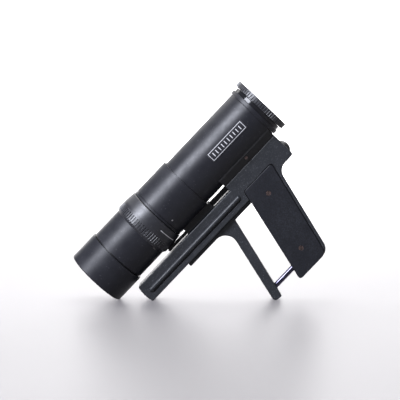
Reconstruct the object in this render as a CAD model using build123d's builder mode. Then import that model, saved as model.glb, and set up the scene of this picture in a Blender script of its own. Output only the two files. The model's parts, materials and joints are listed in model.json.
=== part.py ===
from build123d import *

import math
import os

# Rapid-focus telephoto lens on a pistol grip, in millimetres. It stands on the rim of its hood,
# the nose of its rail and the tip of its lever, with +Z up. Lengths along the lens axis are
# measured from the hood's rim towards the camera, and heights are measured from the lens axis,
# negative towards the handle. Both are laid out on the plane called side.

# ---- stance --------------------------------------------------------------------------------
TILT = 46.6                    # lens axis above the surface, degrees
RIM_X = -110.40                # centre of the hood's rim, in the part's frame
RIM_Z = 23.167

# ---- front barrel: stations along the axis and radii ----------------------------------------
HOOD_START = -0.5
HOOD_END = 32.8
HOOD_R = 34.05
HOOD_BORE_R = 32.95
HOOD_CHAMFER = 0.9
HOOD_LIP = 0.6                 # inward lip at the hood's rim
HOOD_LIP_END = 1.4
BARREL_START = 22.0
BARREL_R = 32.6
BARREL_BORE_R = 28.6           # bore that holds the glass
BARREL_THREAD_R = 30.6         # bore for filters
BARREL_THREAD_END = 28.4
GLASS_SHELF = 60.0             # shelf behind the rear element
GLASS_SHELF_R = 26.0
IRIS_BORE_START = 62.0
IRIS_BORE_R = 27.5
FELT_START = 24.0
FELT_END = 31.0
FELT_DEPTH = 0.8
FELT_PLAY = 0.2
STOP_GROOVE_START = 32.9       # groove in the barrel just behind the hood
STOP_GROOVE_END = 34.4
STOP_GROOVE_DEPTH = 2.2
RING_START = 69.3              # aperture ring
RING_CHAMFER_END = 71.2
RING_KNURL_START = 71.0
RING_KNURL_END = 80.2
RING_LAND_START = 72.6
RING_LAND_END = 83.5
RING_R = 34.6
RING_END = 95.0
RING_END_R = 33.4
RING_SEAT_R = 30.6
RING_RIBS = 70
RING_GAP = 0.15
SPIGOT_END = 106.0
SPIGOT_R = 30.4
FOCUS_TUBE_START = 95.5
FOCUS_TUBE_END = 140.8
FOCUS_TUBE_R = 32.4
TUBE_GROOVE_START = 98.0
TUBE_GROOVE_END = 99.3
TUBE_GROOVE_DEPTH = 0.8
TUBE_GROOVE_SLOPE = 0.3
GUIDE_RING_START = 133.0
GUIDE_RING_END = 139.0
SET_SCREW_STATION = 103.6
SET_SCREW_ANGLES = (207.6, 327.6, 87.6)
SET_SCREW_R = 1.0
SET_SCREW_LENGTH = 3.2

# ---- rear barrel ----------------------------------------------------------------------------
REAR_TUBE_START = 131.5
REAR_TUBE_END = 243.0
REAR_TUBE_R = 30.0
REAR_TUBE_BORE_R = 28.0
LIP_INSERT_START = 236.0
LIP_STEP = 243.2
LIP_END = 248.1
LIP_R = 31.6
LIP_BORE_R = 25.5
NECK_START = 240.0
NECK_STEP = 252.1
NECK_R = 30.4
NECK_END = 256.6
NECK_PIVOT_R = 27.5
NECK_BORE_R = 24.5
CAMERA_RING_START = 252.4
CAMERA_RING_END = 259.2
CAMERA_RING_R = 33.6
CAMERA_RING_STEP = 257.0
CAMERA_RING_RIBS = 68
CAMERA_RING_RIM = 1.2          # plain rim behind the knurl
CAMERA_RING_CHAMFER = 0.5
THROAT_START = 248.5
THROAT_WALL_R = 23.6
THROAT_R = 20.6                # minor radius of an M42 thread
KNURL_DEPTH = 0.75
KNURL_GROOVE = 0.5             # width of a groove's floor
KNURL_MOUTH = 1.7              # width of a groove at the ring's surface
KNURL_CHAMFER = 0.9
BAFFLES = ((150.0, 23.5), (180.0, 22.5), (210.0, 21.5))
BAFFLE_LENGTH = 3.0
BAFFLE_WALL = 1.0
NAME_PLATE_START = 178.0
NAME_PLATE_END = 230.0
NAME_PLATE_THICKNESS = 0.35
NAME_PLATE_ANGLE = 178.0       # middle of the plate round the axis, on the left
NAME_PLATE_HALF_ANGLE = 10.5
RUNNING_FIT = 0.06
EDGE_BREAK = 0.5

# ---- optics ---------------------------------------------------------------------------------
GLASS_R = 28.5
FRONT_GLASS = (32.5, 3.6, 36.0, 5.0)     # front edge, front bulge, rear edge, rear bulge
FLINT_GLASS = (36.0, -5.0, 45.0, 1.2)
REAR_GLASS = (51.0, -3.0, 59.6, 2.0)
SPACER_START = 45.2
SPACER_END = 50.9
SPACER_BORE_R = 26.4
RETAINER_START = 29.3
RETAINER_END = 32.2
RETAINER_INNER_END = 31.5
RETAINER_BORE_R = 26.2

# ---- iris -----------------------------------------------------------------------------------
BLADES = 8
BLADE_PITCH = 0.6
BLADE_THICKNESS = 0.35
BLADE_CLEARANCE = 0.25
BLADE_PIVOT_R = 25.9
BLADE_TRACK_R = 23.4
BLADE_WIDTH = 3.0
BLADE_LOBE_R = 1.4
BLADE_SWEEP = 100.0
IRIS_PIN_R = 0.74
IRIS_START = 74.0
IRIS_FACE = 75.5
IRIS_OPENING_R = 22.0

# ---- rail and head --------------------------------------------------------------------------
HALF_WIDTH = 14.0
RAIL_NOSE = 23.4
NOSE_SHOULDER = 1.4
NOSE_CORNER_R = 1.5
RAIL_TOP = -38.9
RAIL_BOTTOM = -60.5
HEAD_START = 166.9
HEAD_END = 242.1
HEAD_TOP = -31.8
HEAD_CORNER_R = 3.2
EDGE_ROUND = 1.2
BEAD_START = 30.5              # raised half-round bead along each flank of the rail
BEAD_END = 170.2
BEAD_LEVEL = -50.4
BEAD_HEIGHT = 4.8
BEAD_RISE = 2.4
BEAD_R = (BEAD_HEIGHT**2 / 4 + BEAD_RISE**2) / (2 * BEAD_RISE)
COVE_LEVEL = -53.5             # hollow along the lower side of each bead
COVE_R = 1.3
CAVITY_START = 40.0
CAVITY_END = 205.0
CAVITY_LEVEL = -49.7
CAVITY_HALF_HEIGHT = 6.3
CAVITY_HALF_WIDTH = 7.0
SADDLE_LIP = 20.3
SADDLE_LIP_LEVEL = -23.7
SADDLE_SCREW_STATION = 204.9
SADDLE_SCREW_LEVEL = -26.6
SADDLE_SCREW_R = 1.8
SADDLE_SCREW_TIP = 17.2
SADDLE_SCREW_FACE = 18.6
SADDLE_SCREW_SLOT_ANGLE = 60

# ---- handle ---------------------------------------------------------------------------------
HANDLE_BOTTOM = -158.9
HANDLE_SLANT = 0.2536          # forward drift of the handle's front edge per unit of depth
HANDLE_FRONT_TOP = 174.5       # front edge at the underside of the rail
HANDLE_REAR_SLANT = 0.2727
HANDLE_REAR_TOP = 220.1
HANDLE_HEEL_R = 12.2
HANDLE_TOE_R = 3.2
WEB_R = 12.0
SCALE_TOP = -50.2
SCALE_INSET = 4.1
SCALE_FLOOR = 11.0             # half-thickness of the handle core under the scales
SCALE_GAP = 0.8
SCALE_SEAT = 0.05
SCALE_FACE = 14.3
SCALE_CORNER_R = 3.0
SCALE_EDGE_R = 0.8
SCALE_SCREW_PLACES = ((193.6, -70.2), (175.1, -135.9))
SCALE_SCREW_R = 1.5
SCALE_SCREW_TIP = 5.0
SCALE_SCREW_SINK = 0.2
SCALE_SCREW_SLOT_ANGLE = 35
SCREW_HEAD_R = 2.9
SCREW_HEAD_DEPTH = 1.6
SCREW_SLOT = 0.7
SCREW_SLOT_DEPTH = 0.8
TRIPOD_STATION = 172.0
TRIPOD_TOP = HANDLE_BOTTOM + 8.3
TRIPOD_R = 5.0
TRIPOD_BORE_R = 2.6            # minor radius of a 1/4-20 thread

# ---- focusing slide -------------------------------------------------------------------------
TRAVEL = 24.0
SLOT_GAP = 0.3
SLOT_HALF_WIDTH = 4.0
CARRIAGE_START = 103.0
CARRIAGE_END = 142.6
CARRIAGE_HALF_WIDTH = 9.0
CARRIAGE_BOTTOM = -38.6
CARRIAGE_TOP = -29.0
CARRIAGE_EDGE_R = 0.6
BAR_HALF_WIDTH = 4.5
BAR_TOP = -34.7
BAR_BOTTOM = -37.7
BAR_NOSE = 75.0
BAR_NOSE_R = 1.2
BAR_REAR_TOP = -32.1
BAR_REAR_BOTTOM = -37.6
BAR_END = 185.0
BLOCK_START = 96.0
BLOCK_END = 150.0
BLOCK_HALF_WIDTH = CAVITY_HALF_WIDTH - SLOT_GAP
BLOCK_HALF_HEIGHT = CAVITY_HALF_HEIGHT - SLOT_GAP
LOWER_NECK_START = 100.0
LOWER_NECK_END = 146.0
UPPER_NECK_START = 104.0
UPPER_NECK_END = 142.0
NECK_HALF_WIDTH = SLOT_HALF_WIDTH - SLOT_GAP
BAR_CHANNEL_END = BAR_END + TRAVEL + 1.0
SLIDE_SCREW_STATIONS = (108.0, 126.0)
SLIDE_SCREW_R = 1.6
SLIDE_SCREW_HEAD_R = 3.0
SLIDE_SCREW_HEAD_DEPTH = 1.4
SLIDE_SCREW_SLOT_ANGLE = 25
SLIDE_SCREW_TIP = -33.4
SPRING_R = 5.1
SPRING_WIRE_R = 0.55
SPRING_TURNS = 9
SPRING_SEAT = 1.0

# ---- trigger lever and guide rod ------------------------------------------------------------
LEVER_HALF_WIDTH = 8.5
LEVER_EDGE_R = 0.9
PLATE_NOSE = 79.4
PLATE_NOSE_R = 1.6
PLATE_END = 176.0
PLATE_TOP = -60.7
PLATE_BOTTOM = -64.7
PLATE_CHANNEL_END = PLATE_END + TRAVEL + 1.0
ARM_FRONT_TOP = 136.5          # front edge of the arm, carried up to the plate's underside
ARM_FRONT_SLANT = 0.2558
ARM_REAR_TOP = 148.3
ARM_REAR_SLANT = 0.2705
ARM_TOE = -156.22
ARM_HEEL = -157.62
ARM_WEB_R = 13.5
ARM_TOE_R = 4.2
ARM_HEEL_R = 1.2
ROD_LEVEL = -145.8
ROD_R = 3.0
ROD_START = 118.0
ROD_END = 165.0
ROD_CHAMFER = 0.6
ROD_PLAY = 0.5
BUSH_START = 140.0
BUSH_END = 168.0
BUSH_R = 4.6
BUSH_RECESS = 0.2

# ---- thumb release --------------------------------------------------------------------------
BUTTON_LEVEL = -48.8
BUTTON_R = 8.3
BUTTON_DOME = 3.8
BUTTON_CAP = 238.8             # front of the button's cap
BUTTON_STEM_R = 4.0
BUTTON_BORE_R = BUTTON_R + 0.3
BUTTON_SHOULDER = 233.4
BUTTON_SPRING_R = 5.7
BUTTON_SPRING_WIRE_R = 0.4
BUTTON_SPRING_TURNS = 3
BUTTON_SPRING_SEAT = 0.7
RELEASE_STATION = 226.0
RELEASE_PIN_R = 1.5
RELEASE_PIN_START = 1.2
RELEASE_PIN_END = 10.3
CONE_TIP = RELEASE_STATION + 0.45
BUTTON_WELL_END = RELEASE_STATION - 3.5
SOCKET_START = 8.0
SOCKET_R = 4.0
SOCKET_COLLAR_R = 5.0
SOCKET_FACE = HALF_WIDTH + 1.6
SOCKET_BORE_START = 10.5
SOCKET_BORE_R = 2.1            # minor radius of a cable release thread

tilt = math.radians(TILT)
backwards = (math.cos(tilt), 0, math.sin(tilt))
upwards = (-math.sin(tilt), 0, math.cos(tilt))
side = Plane(origin=(RIM_X, 0, RIM_Z), x_dir=backwards, z_dir=(0, -1, 0))
lens_axis = Axis(side.origin, side.x_dir)


def place(along, height, across=0.0):
    """The point at a distance along the lens axis, a height from it and a distance to the right."""
    return side.origin + Vector(*backwards) * along + Vector(*upwards) * height + Vector(0, across, 0)


def station(along, height=0.0):
    """A plane square to the lens axis, with its x to the right, its y up and its normal backwards."""
    return Plane(origin=place(along, height), x_dir=(0, 1, 0), z_dir=backwards)


def level(height):
    """A plane parallel to the rail, with its x backwards and its normal towards the barrel."""
    return Plane(origin=place(0, height), x_dir=backwards, z_dir=upwards)


def flank(across, outwards):
    """A plane parallel to side, facing right for outwards = 1 and left for outwards = -1."""
    return Plane(origin=place(0, 0, across), x_dir=backwards, z_dir=(0, outwards, 0))


def flank_point(along, height, outwards):
    """Coordinates of a point on a flank plane, whose y axis turns over on the right side."""
    return (along, -outwards * height)


def turned(*outline, mode=Mode.ADD):
    """A ring or disc about the lens axis, from its (station, radius) corners."""
    with BuildSketch(side) as section:
        with BuildLine():
            Polyline(*outline, close=True)
        make_face()
    revolve(section.sketch, axis=lens_axis, mode=mode)


def prism(half_width, *outline, mode=Mode.ADD):
    """A plate of a side outline, as far to the left as to the right of the middle."""
    with BuildSketch(side) as section:
        with BuildLine():
            Polyline(*outline, close=True)
        make_face()
    extrude(section.sketch, amount=half_width, both=True, mode=mode)


def block(start, end, bottom, top, half_width, mode=Mode.ADD):
    """A rectangular bar along the lens axis."""
    prism(half_width, (start, bottom), (end, bottom), (end, top), (start, top), mode=mode)


def rod_along(start, end, height, radius, across=0.0, mode=Mode.ADD):
    """A round bar parallel to the lens axis."""
    with BuildSketch(station(start, height)) as section:
        with Locations((across, 0)):
            Circle(radius)
    extrude(section.sketch, amount=end - start, mode=mode)


def rod_across(along, height, inner, outer, radius, outwards, mode=Mode.ADD):
    """A round bar square to the side plane, from inner to outer on the right or the left."""
    with BuildSketch(flank(outwards * inner, outwards)) as section:
        with Locations(flank_point(along, height, outwards)):
            Circle(radius)
    extrude(section.sketch, amount=outer - inner, mode=mode)


def ribs(start, end, radius, count):
    """Axial grooves with slanted walls cut round a ring, which leave its knurl."""
    flare = KNURL_MOUTH - KNURL_GROOVE / 2
    with BuildSketch(station(start)) as section:
        with PolarLocations(radius, count):
            Polygon((-KNURL_DEPTH, -KNURL_GROOVE / 2), (KNURL_DEPTH, -flare), (KNURL_DEPTH, flare),
                    (-KNURL_DEPTH, KNURL_GROOVE / 2), align=None)
    extrude(section.sketch, amount=end - start, mode=Mode.SUBTRACT)


def coil(start, end, height, radius, wire, turns):
    """A round-wire spring along the lens axis."""
    pitch = (end - start) / turns
    with BuildLine() as path:
        Helix(pitch=pitch, height=end - start, radius=radius, center=place(start, height),
              direction=backwards)
    with BuildSketch(Plane(origin=path.line @ 0, z_dir=path.line % 0)) as section:
        Circle(wire)
    sweep(section.sketch, path=path.line, is_frenet=True)


def dome_middle(edge, rise, rim_radius):
    """The point halfway up a spherical face that rises from a rim at a station to the axis."""
    curvature = (rim_radius**2 + rise**2) / (2 * rise)
    half_angle = math.asin(rim_radius / curvature) / 2
    return (edge + rise - curvature * (1 - math.cos(half_angle)), curvature * math.sin(half_angle))


def handle_front(height):
    """Station of the handle's front edge."""
    return HANDLE_FRONT_TOP + (height - RAIL_BOTTOM) * HANDLE_SLANT


def handle_rear(height):
    """Station of the handle's rear edge."""
    return HANDLE_REAR_TOP + (height - RAIL_BOTTOM) * HANDLE_REAR_SLANT


def nearest(shapes, along, height):
    """The vertex of a sketch that lies nearest to a place on the side plane."""
    return shapes.sort_by_distance((along, height, 0))[0]


# ---- grip casting ---------------------------------------------------------------------------
def scale_outline(grow):
    """The outline of a grip scale, grown outwards for the recess that it lies in."""
    top = SCALE_TOP + grow
    bottom = HANDLE_BOTTOM - grow
    with BuildSketch() as outline:
        with BuildLine():
            Polyline(
                (handle_front(top) - grow, top),
                (handle_rear(top) - SCALE_INSET + grow, top),
                (handle_rear(bottom) - SCALE_INSET + grow, bottom),
                (handle_front(bottom) - grow, bottom),
                close=True,
            )
        make_face()
        fillet(outline.vertices().group_by(Axis.Y)[-1], SCALE_CORNER_R)
        fillet(nearest(outline.vertices(), handle_rear(bottom), bottom), HANDLE_HEEL_R - SCALE_INSET)
        fillet(nearest(outline.vertices(), handle_front(bottom), bottom), HANDLE_TOE_R)
    return outline.sketch


with BuildPart() as grip_frame:
    with BuildSketch(side) as casting_outline:
        with BuildLine():
            Polyline(
                (RAIL_NOSE + NOSE_SHOULDER, RAIL_TOP),
                (HEAD_START, RAIL_TOP),
                (HEAD_START, HEAD_TOP),
                (HEAD_END, HEAD_TOP),
                (HEAD_END, RAIL_BOTTOM),
                (handle_rear(RAIL_BOTTOM), RAIL_BOTTOM),
                (handle_rear(HANDLE_BOTTOM), HANDLE_BOTTOM),
                (handle_front(HANDLE_BOTTOM), HANDLE_BOTTOM),
                (handle_front(RAIL_BOTTOM), RAIL_BOTTOM),
                (RAIL_NOSE + NOSE_SHOULDER, RAIL_BOTTOM),
            )
            ThreePointArc(
                (RAIL_NOSE + NOSE_SHOULDER, RAIL_BOTTOM),
                (RAIL_NOSE, (RAIL_TOP + RAIL_BOTTOM) / 2),
                (RAIL_NOSE + NOSE_SHOULDER, RAIL_TOP),
            )
        make_face()
        for along, height, radius in (
            (handle_rear(HANDLE_BOTTOM), HANDLE_BOTTOM, HANDLE_HEEL_R),
            (handle_front(HANDLE_BOTTOM), HANDLE_BOTTOM, HANDLE_TOE_R),
            (handle_rear(RAIL_BOTTOM), RAIL_BOTTOM, WEB_R),
            (HEAD_END, RAIL_BOTTOM, HEAD_CORNER_R),
            (RAIL_NOSE, RAIL_BOTTOM, NOSE_CORNER_R),
            (RAIL_NOSE, RAIL_TOP, NOSE_CORNER_R),
        ):
            fillet(nearest(casting_outline.vertices(), along, height), radius)
    extrude(amount=HALF_WIDTH, both=True)
    for cheek in (grip_frame.faces().sort_by(Axis.Y)[0], grip_frame.faces().sort_by(Axis.Y)[-1]):
        fillet(cheek.edges(), EDGE_ROUND)
    # the long beads of the rail with their coves, the recesses for the scales and the holes for their screws
    for outwards in (-1, 1):
        bead_axis = outwards * (HALF_WIDTH + BEAD_RISE - BEAD_R)
        bead_ends = (BEAD_START + BEAD_HEIGHT / 2, BEAD_END - BEAD_HEIGHT / 2)
        rod_along(*bead_ends, COVE_LEVEL, COVE_R, across=outwards * HALF_WIDTH, mode=Mode.SUBTRACT)
        rod_along(*bead_ends, BEAD_LEVEL, BEAD_R, across=bead_axis)
        with Locations(*(place(along, BEAD_LEVEL, bead_axis) for along in bead_ends)):
            Sphere(BEAD_R)
        recess = scale_outline(SCALE_GAP)
        with BuildSketch(flank(outwards * SCALE_FLOOR, outwards)):
            add(recess if outwards < 0 else mirror(recess, about=Plane.XZ))
        extrude(amount=2 * HALF_WIDTH, mode=Mode.SUBTRACT)
        for along, height in SCALE_SCREW_PLACES:
            rod_across(along, height, SCALE_SCREW_TIP, HALF_WIDTH, SCALE_SCREW_R, outwards,
                       mode=Mode.SUBTRACT)
    # ways for the slide block, its two necks, the guide bar and the lever plate
    cavity_top = CAVITY_LEVEL + CAVITY_HALF_HEIGHT
    cavity_bottom = CAVITY_LEVEL - CAVITY_HALF_HEIGHT
    block(CAVITY_START, CAVITY_END, cavity_bottom, cavity_top, CAVITY_HALF_WIDTH, mode=Mode.SUBTRACT)
    block(UPPER_NECK_START - SLOT_GAP, UPPER_NECK_END + TRAVEL + SLOT_GAP, cavity_top - 1,
          RAIL_TOP + 1, SLOT_HALF_WIDTH, mode=Mode.SUBTRACT)
    block(LOWER_NECK_START - SLOT_GAP, LOWER_NECK_END + TRAVEL + SLOT_GAP, RAIL_BOTTOM - 1,
          cavity_bottom + 1, SLOT_HALF_WIDTH, mode=Mode.SUBTRACT)
    block(HEAD_START - 1, BAR_CHANNEL_END, BAR_REAR_BOTTOM - SLOT_GAP, HEAD_TOP + 1,
          BAR_HALF_WIDTH + SLOT_GAP, mode=Mode.SUBTRACT)
    block(HEAD_START, PLATE_CHANNEL_END, PLATE_BOTTOM - SLOT_GAP, RAIL_BOTTOM,
          LEVER_HALF_WIDTH + SLOT_GAP, mode=Mode.SUBTRACT)
    # bores for the guide rod, the tripod bush and the thumb release
    rod_along(BUSH_START, BUSH_END, ROD_LEVEL, BUSH_R, mode=Mode.SUBTRACT)
    rod_along(BUSH_END, ROD_END + TRAVEL + 2, ROD_LEVEL, ROD_R + ROD_PLAY, mode=Mode.SUBTRACT)
    with BuildSketch(level(HANDLE_BOTTOM)):
        with Locations((TRIPOD_STATION, 0)):
            Circle(TRIPOD_R)
    extrude(amount=TRIPOD_TOP - HANDLE_BOTTOM, mode=Mode.SUBTRACT)
    rod_along(BUTTON_SHOULDER, HEAD_END + 1, BUTTON_LEVEL, BUTTON_BORE_R, mode=Mode.SUBTRACT)
    rod_along(BUTTON_WELL_END, BUTTON_SHOULDER, BUTTON_LEVEL, BUTTON_STEM_R + RUNNING_FIT,
              mode=Mode.SUBTRACT)
    rod_across(RELEASE_STATION, BUTTON_LEVEL, 0.0, SOCKET_START, RELEASE_PIN_R + RUNNING_FIT, 1,
               mode=Mode.SUBTRACT)
    rod_across(RELEASE_STATION, BUTTON_LEVEL, SOCKET_START, HALF_WIDTH, SOCKET_R, 1, mode=Mode.SUBTRACT)

# ---- grip scales and their screws -----------------------------------------------------------
def scale_body(outwards):
    """One grip scale: a plate with rounded outer edges and two countersunk holes."""
    with BuildPart() as scale:
        outline = scale_outline(0)
        with BuildSketch(flank(outwards * (SCALE_FLOOR + SCALE_SEAT), outwards)):
            add(outline if outwards < 0 else mirror(outline, about=Plane.XZ))
        extrude(amount=SCALE_FACE - SCALE_FLOOR - SCALE_SEAT)
        outer_face = scale.faces().sort_by(Axis.Y)[-1 if outwards > 0 else 0]
        fillet(outer_face.edges(), SCALE_EDGE_R)
        for along, height in SCALE_SCREW_PLACES:
            rod_across(along, height, SCALE_FLOOR, SCALE_FACE, SCALE_SCREW_R, outwards, mode=Mode.SUBTRACT)
            with BuildSketch(flank(outwards * SCALE_FACE, outwards)) as mouth:
                with Locations(flank_point(along, height, outwards)):
                    Circle(SCREW_HEAD_R)
            extrude(mouth.sketch, amount=-SCREW_HEAD_DEPTH, taper=40, mode=Mode.SUBTRACT)
    return scale


left_grip_scale = scale_body(-1)
right_grip_scale = scale_body(1)

with BuildPart() as scale_screws:
    for outwards in (-1, 1):
        for along, height in SCALE_SCREW_PLACES:
            rod_across(along, height, SCALE_SCREW_TIP, SCALE_FACE - SCREW_HEAD_DEPTH, SCALE_SCREW_R,
                       outwards)
            with BuildSketch(flank(outwards * (SCALE_FACE - SCALE_SCREW_SINK), outwards)) as head:
                with Locations(flank_point(along, height, outwards)):
                    Circle(SCREW_HEAD_R - SCALE_SCREW_SINK)
            extrude(head.sketch, amount=SCALE_SCREW_SINK - SCREW_HEAD_DEPTH, taper=40)
            with BuildSketch(flank(outwards * (SCALE_FACE - SCREW_SLOT_DEPTH), outwards)) as slot:
                with Locations(flank_point(along, height, outwards)):
                    Rectangle(2 * SCREW_HEAD_R, SCREW_SLOT, rotation=SCALE_SCREW_SLOT_ANGLE)
            extrude(slot.sketch, amount=SCREW_SLOT_DEPTH, mode=Mode.SUBTRACT)

# ---- saddle under the rear tube -------------------------------------------------------------
with BuildPart() as barrel_saddle:
    with BuildSketch(station(HEAD_START)):
        with BuildLine():
            Polyline(
                (-HALF_WIDTH, HEAD_TOP),
                (HALF_WIDTH, HEAD_TOP),
                (SADDLE_LIP, SADDLE_LIP_LEVEL),
                (SADDLE_LIP, 0),
                (-SADDLE_LIP, 0),
                (-SADDLE_LIP, SADDLE_LIP_LEVEL),
                close=True,
            )
        make_face()
    extrude(amount=HEAD_END - HEAD_START)
    rod_along(HEAD_START - 1, HEAD_END + 1, 0, REAR_TUBE_R, mode=Mode.SUBTRACT)
    for outwards in (-1, 1):
        rod_across(SADDLE_SCREW_STATION, SADDLE_SCREW_LEVEL, SADDLE_SCREW_TIP, SADDLE_LIP,
                   SADDLE_SCREW_R, outwards, mode=Mode.SUBTRACT)

with BuildPart() as saddle_screws:
    for outwards in (-1, 1):
        rod_across(SADDLE_SCREW_STATION, SADDLE_SCREW_LEVEL, SADDLE_SCREW_TIP, SADDLE_SCREW_FACE,
                   SADDLE_SCREW_R, outwards)
        with BuildSketch(flank(outwards * (SADDLE_SCREW_FACE - SCREW_SLOT_DEPTH), outwards)) as slot:
            with Locations(flank_point(SADDLE_SCREW_STATION, SADDLE_SCREW_LEVEL, outwards)):
                Rectangle(2 * SADDLE_SCREW_R, SCREW_SLOT, rotation=SADDLE_SCREW_SLOT_ANGLE)
        extrude(slot.sketch, amount=SCREW_SLOT_DEPTH, mode=Mode.SUBTRACT)

# ---- fixed rear barrel ----------------------------------------------------------------------
with BuildPart() as rear_tube:
    turned((REAR_TUBE_START, REAR_TUBE_BORE_R), (REAR_TUBE_START, REAR_TUBE_R),
           (REAR_TUBE_END, REAR_TUBE_R), (REAR_TUBE_END, REAR_TUBE_BORE_R))

with BuildPart() as rear_lip_ring:
    turned((LIP_INSERT_START, LIP_BORE_R), (LIP_INSERT_START, REAR_TUBE_BORE_R),
           (LIP_STEP, REAR_TUBE_BORE_R), (LIP_STEP, LIP_R - EDGE_BREAK), (LIP_STEP + EDGE_BREAK, LIP_R),
           (LIP_END - EDGE_BREAK, LIP_R), (LIP_END, LIP_R - EDGE_BREAK), (LIP_END, LIP_BORE_R))

with BuildPart() as camera_neck:
    turned((NECK_START, NECK_BORE_R), (NECK_START, LIP_BORE_R), (LIP_END, LIP_BORE_R), (LIP_END, NECK_R),
           (NECK_STEP - EDGE_BREAK, NECK_R), (NECK_STEP, NECK_R - EDGE_BREAK), (NECK_STEP, NECK_PIVOT_R),
           (NECK_END, NECK_PIVOT_R), (NECK_END, NECK_BORE_R))

with BuildPart() as camera_ring:
    pivot = NECK_PIVOT_R + RUNNING_FIT
    shoulder = CAMERA_RING_R - CAMERA_RING_CHAMFER
    turned((THROAT_START, THROAT_R), (THROAT_START, THROAT_WALL_R), (CAMERA_RING_STEP, THROAT_WALL_R),
           (CAMERA_RING_STEP, pivot), (CAMERA_RING_START, pivot), (CAMERA_RING_START, shoulder),
           (CAMERA_RING_START + CAMERA_RING_CHAMFER, CAMERA_RING_R),
           (CAMERA_RING_END - CAMERA_RING_CHAMFER, CAMERA_RING_R), (CAMERA_RING_END, shoulder),
           (CAMERA_RING_END, THROAT_R))
    ribs(CAMERA_RING_START - 1, CAMERA_RING_END - CAMERA_RING_RIM, CAMERA_RING_R, CAMERA_RING_RIBS)

with BuildPart() as tube_baffles:
    sleeve = REAR_TUBE_BORE_R - BAFFLE_WALL
    for along, opening in BAFFLES:
        turned((along, opening), (along, REAR_TUBE_BORE_R), (along + BAFFLE_LENGTH, REAR_TUBE_BORE_R),
               (along + BAFFLE_LENGTH, sleeve), (along + BAFFLE_WALL, sleeve),
               (along + BAFFLE_WALL, opening))

with BuildPart() as name_plate:
    face = REAR_TUBE_R + NAME_PLATE_THICKNESS
    turned((NAME_PLATE_START, REAR_TUBE_R), (NAME_PLATE_START, face), (NAME_PLATE_END, face),
           (NAME_PLATE_END, REAR_TUBE_R))
    with BuildSketch(station(NAME_PLATE_START)) as sector:
        with BuildLine():
            reach = 2 * REAR_TUBE_R
            low = math.radians(NAME_PLATE_ANGLE - NAME_PLATE_HALF_ANGLE)
            high = math.radians(NAME_PLATE_ANGLE + NAME_PLATE_HALF_ANGLE)
            Polyline((0, 0), (reach * math.cos(low), reach * math.sin(low)),
                     (reach * math.cos(high), reach * math.sin(high)), close=True)
        make_face()
    extrude(sector.sketch, amount=NAME_PLATE_END - NAME_PLATE_START, mode=Mode.INTERSECT)

# ---- sliding front barrel -------------------------------------------------------------------
def set_screw_plane(angle):
    """The plane that a set screw's tip lies on, square to the screw."""
    turn = math.radians(angle)
    outwards = Vector(0, math.cos(turn), 0) + Vector(*upwards) * math.sin(turn)
    return Plane(origin=place(SET_SCREW_STATION, 0) + outwards * (SPIGOT_R - 1.5), z_dir=outwards)


def set_screws(length, mode=Mode.ADD):
    """The set screws, or with SUBTRACT their holes."""
    for angle in SET_SCREW_ANGLES:
        with BuildSketch(set_screw_plane(angle)) as shank:
            Circle(SET_SCREW_R)
        extrude(shank.sketch, amount=length, mode=mode)


with BuildPart() as focus_tube:
    groove = FOCUS_TUBE_R - TUBE_GROOVE_DEPTH
    turned((FOCUS_TUBE_START, SPIGOT_R), (FOCUS_TUBE_START, FOCUS_TUBE_R - EDGE_BREAK),
           (FOCUS_TUBE_START + EDGE_BREAK, FOCUS_TUBE_R), (TUBE_GROOVE_START, FOCUS_TUBE_R),
           (TUBE_GROOVE_START + TUBE_GROOVE_SLOPE, groove), (TUBE_GROOVE_END - TUBE_GROOVE_SLOPE, groove),
           (TUBE_GROOVE_END, FOCUS_TUBE_R), (FOCUS_TUBE_END, FOCUS_TUBE_R), (FOCUS_TUBE_END, SPIGOT_R))
    set_screws(2 * SET_SCREW_LENGTH, mode=Mode.SUBTRACT)

felt_seat = BARREL_R - FELT_DEPTH
stop_groove = BARREL_R - STOP_GROOVE_DEPTH

with BuildPart() as lens_barrel:
    shoulder = RING_START - RING_GAP
    turned((BARREL_START, BARREL_THREAD_R), (BARREL_START, BARREL_R - EDGE_BREAK),
           (BARREL_START + EDGE_BREAK, BARREL_R), (FELT_START, BARREL_R), (FELT_START, felt_seat),
           (FELT_END, felt_seat), (FELT_END, BARREL_R), (STOP_GROOVE_START, BARREL_R),
           (STOP_GROOVE_START, stop_groove), (STOP_GROOVE_END, stop_groove), (STOP_GROOVE_END, BARREL_R),
           (shoulder, BARREL_R), (shoulder, RING_SEAT_R), (RING_END + RING_GAP, RING_SEAT_R),
           (RING_END + RING_GAP, SPIGOT_R), (SPIGOT_END, SPIGOT_R), (SPIGOT_END, IRIS_BORE_R),
           (IRIS_BORE_START, IRIS_BORE_R), (IRIS_BORE_START, GLASS_SHELF_R), (GLASS_SHELF, GLASS_SHELF_R),
           (GLASS_SHELF, BARREL_BORE_R), (BARREL_THREAD_END, BARREL_BORE_R),
           (BARREL_THREAD_END, BARREL_THREAD_R))
    set_screws(2 * SET_SCREW_LENGTH, mode=Mode.SUBTRACT)

with BuildPart() as barrel_set_screws:
    set_screws(SET_SCREW_LENGTH)

with BuildPart() as tube_guide_ring:
    turned((GUIDE_RING_START, REAR_TUBE_R + RUNNING_FIT), (GUIDE_RING_START, SPIGOT_R),
           (GUIDE_RING_END, SPIGOT_R), (GUIDE_RING_END, REAR_TUBE_R + RUNNING_FIT))

with BuildPart() as hood_felt_ring:
    turned((FELT_START + FELT_PLAY, felt_seat), (FELT_START + FELT_PLAY, HOOD_BORE_R - RUNNING_FIT),
           (FELT_END - FELT_PLAY, HOOD_BORE_R - RUNNING_FIT), (FELT_END - FELT_PLAY, felt_seat))

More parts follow.
